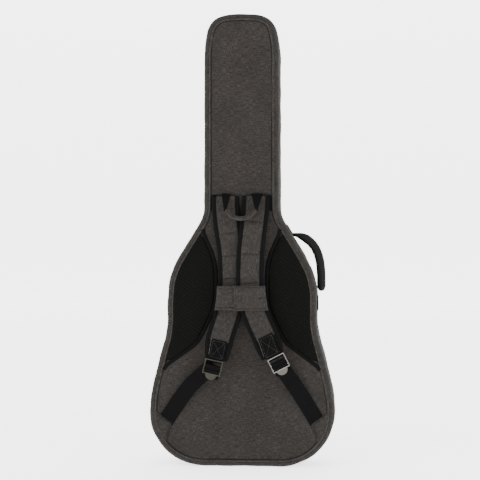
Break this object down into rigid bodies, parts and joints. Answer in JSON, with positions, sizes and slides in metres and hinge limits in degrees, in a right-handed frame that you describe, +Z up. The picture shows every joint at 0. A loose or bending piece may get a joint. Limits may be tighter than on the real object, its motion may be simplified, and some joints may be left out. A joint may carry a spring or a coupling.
{
  "type": "padded gig bag",
  "caption": "Padded guitar-shaped carrying bag with a side-opening zipped lid, paired shoulder straps and lifting handles.",
  "frame": {"origin": "on the base, in the plane of symmetry, half way between the back panel and the lid's face at the base", "axes": "+Z up the bag to its head, +X to the right facing the shoulder straps, +Y from the back panel to the lid"},
  "size_m": [0.4504, 0.2089, 1.0998],
  "materials": {
    "canvas": "heather woven canvas",
    "strap_canvas": "heather woven canvas",
    "foam": "closed-cell foam, sewn in and hidden",
    "lining": "smooth woven nylon lining",
    "mesh": "air mesh over soft foam",
    "binding": "ribbed binding tape",
    "webbing": "woven webbing",
    "piping": "cord piping covered in canvas",
    "zip_tape": "woven zip tape",
    "zip_teeth": "nylon coil",
    "zip_metal": "dark plated zip slider",
    "nickel": "bright nickel plate",
    "gunmetal": "dark plated steel",
    "grip": "padded sleeve of smooth black cloth",
    "cradle": "cloth-covered foam block"
  },
  "bodies": {
    "shell": {"back_panel": "canvas", "back_gusset": "canvas", "back_base_strip": "canvas", "back_panel_foam": "foam", "back_gusset_foam": "foam", "back_lining": "lining", "back_gusset_lining": "lining", "back_piping": "piping", "zip_tape_back": "zip_tape", "zip_teeth_back": "zip_teeth", "hinge_cloth_back": "canvas", "right_back_pad": "mesh", "right_pad_binding": "binding", "left_back_pad": "mesh", "left_pad_binding": "binding", "strap_yoke": "binding", "corner_patch_left": "canvas", "corner_patch_right": "canvas", "left_lower_webbing": "webbing", "right_lower_webbing": "webbing", "handle_upper_tab": "webbing", "handle_lower_tab": "webbing", "neck_cradle": "cradle", "tail_pad": "cradle"},
    "lid": {"lid_panel": "canvas", "lid_gusset": "canvas", "lid_base_strip": "canvas", "lid_panel_foam": "foam", "lid_gusset_foam": "foam", "lid_lining": "lining", "lid_gusset_lining": "lining", "lid_piping": "piping", "zip_tape_lid": "zip_tape", "zip_teeth_lid": "zip_teeth", "hinge_cloth_lid": "canvas", "lid_pocket": "canvas", "pocket_zip_tape": "zip_tape", "pocket_zip_teeth": "zip_teeth"},
    "zip_slider_up": {"zip_slider_upper": "zip_metal"},
    "zip_pull_up": {"zip_pull_upper": "zip_metal"},
    "zip_slider_low": {"zip_slider_lower": "zip_metal"},
    "zip_pull_low": {"zip_pull_lower": "zip_metal"},
    "pocket_slide": {"pocket_slider": "zip_metal"},
    "pocket_tab": {"pocket_pull": "zip_metal"},
    "strap_right": {"right_shoulder_strap": "strap_canvas", "right_strap_binding": "binding", "right_webbing_tab": "webbing", "strap_wrap": "strap_canvas"},
    "strap_left": {"left_shoulder_strap": "strap_canvas", "left_strap_binding": "binding", "left_webbing_tab": "webbing"},
    "flap": {"wrap_flap": "strap_canvas"},
    "buckle_left": {"left_buckle": "gunmetal", "left_buckle_webbing": "webbing"},
    "buckle_right": {"right_buckle": "nickel", "right_buckle_webbing": "webbing"},
    "side_handle": {"side_handle_grip": "grip"},
    "haul_handle": {"haul_loop": "strap_canvas", "haul_loop_tabs": "webbing"},
    "headstock_strap": {"neck_strap": "webbing"}
  },
  "joints": [
    {"name": "lid_hinge", "type": "hinge", "parent": "shell", "child": "lid", "pos_m": [-0.2265, 0.02273, 0.145], "axis": [0, -0.0363, 0.9993], "range_deg": [0, 150]},
    {"name": "zip_up_slide", "type": "slide", "parent": "shell", "child": "zip_slider_up", "axis": [0, -0.0363, 0.9993], "range_m": [0, 0.13]},
    {"name": "zip_up_pull", "type": "hinge", "parent": "zip_slider_up", "child": "zip_pull_up", "pos_m": [-0.0947, -0.00291, 0.85], "axis": [0, 0.9993, 0.0363], "range_deg": [0, 150]},
    {"name": "zip_low_slide", "type": "slide", "parent": "shell", "child": "zip_slider_low", "axis": [0, -0.0363, 0.9993], "range_m": [-0.14, 0]},
    {"name": "zip_low_pull", "type": "hinge", "parent": "zip_slider_low", "child": "zip_pull_low", "pos_m": [-0.0947, -0.00116, 0.802], "axis": [0, 0.9993, 0.0363], "range_deg": [0, 150]},
    {"name": "pocket_zip_slide", "type": "slide", "parent": "lid", "child": "pocket_slide", "axis": [1, 0, 0], "range_m": [0, 0.2476]},
    {"name": "pocket_pull_hinge", "type": "hinge", "parent": "pocket_slide", "child": "pocket_tab", "pos_m": [-0.12382, 0.06096, 0.4582], "axis": [0, 1, 0], "range_deg": [0, 150]},
    {"name": "right_strap_lift", "type": "hinge", "parent": "shell", "child": "strap_right", "pos_m": [0, -0.0714, 0.655], "axis": [-1, 0, 0], "range_deg": [0, 35]},
    {"name": "left_strap_lift", "type": "hinge", "parent": "shell", "child": "strap_left", "pos_m": [0, -0.0714, 0.655], "axis": [-1, 0, 0], "range_deg": [0, 35]},
    {"name": "wrap_flap_hinge", "type": "hinge", "parent": "strap_right", "child": "flap", "pos_m": [0.07172, -0.10677, 0.4095], "axis": [0, 0, 1], "range_deg": [0, 150]},
    {"name": "left_buckle_tilt", "type": "hinge", "parent": "strap_left", "child": "buckle_left", "pos_m": [-0.0623, -0.11282, 0.26057], "axis": [-0.9741, 0, 0.2261], "range_deg": [0, 40]},
    {"name": "right_buckle_tilt", "type": "hinge", "parent": "strap_right", "child": "buckle_right", "pos_m": [0.08467, -0.11776, 0.27077], "axis": [-0.8882, 0, -0.4594], "range_deg": [0, 40]},
    {"name": "side_handle_swing", "type": "hinge", "parent": "shell", "child": "side_handle", "pos_m": [0.12987, -0.024, 0.56192], "axis": [0.4025, 0, -0.9154], "range_deg": [-45, 45]},
    {"name": "haul_loop_lift", "type": "hinge", "parent": "strap_right", "child": "haul_handle", "pos_m": [0, -0.0818, 0.655], "axis": [-1, 0, 0], "range_deg": [0, 110]},
    {"name": "neck_strap_hinge", "type": "hinge", "parent": "shell", "child": "headstock_strap", "pos_m": [-0.058, -0.0028, 0.81], "axis": [0, 0, 1], "range_deg": [0, 11]}
  ],
  "couplings": [
    {"joint": "left_strap_lift", "follows": "right_strap_lift", "ratio": 1}
  ]
}
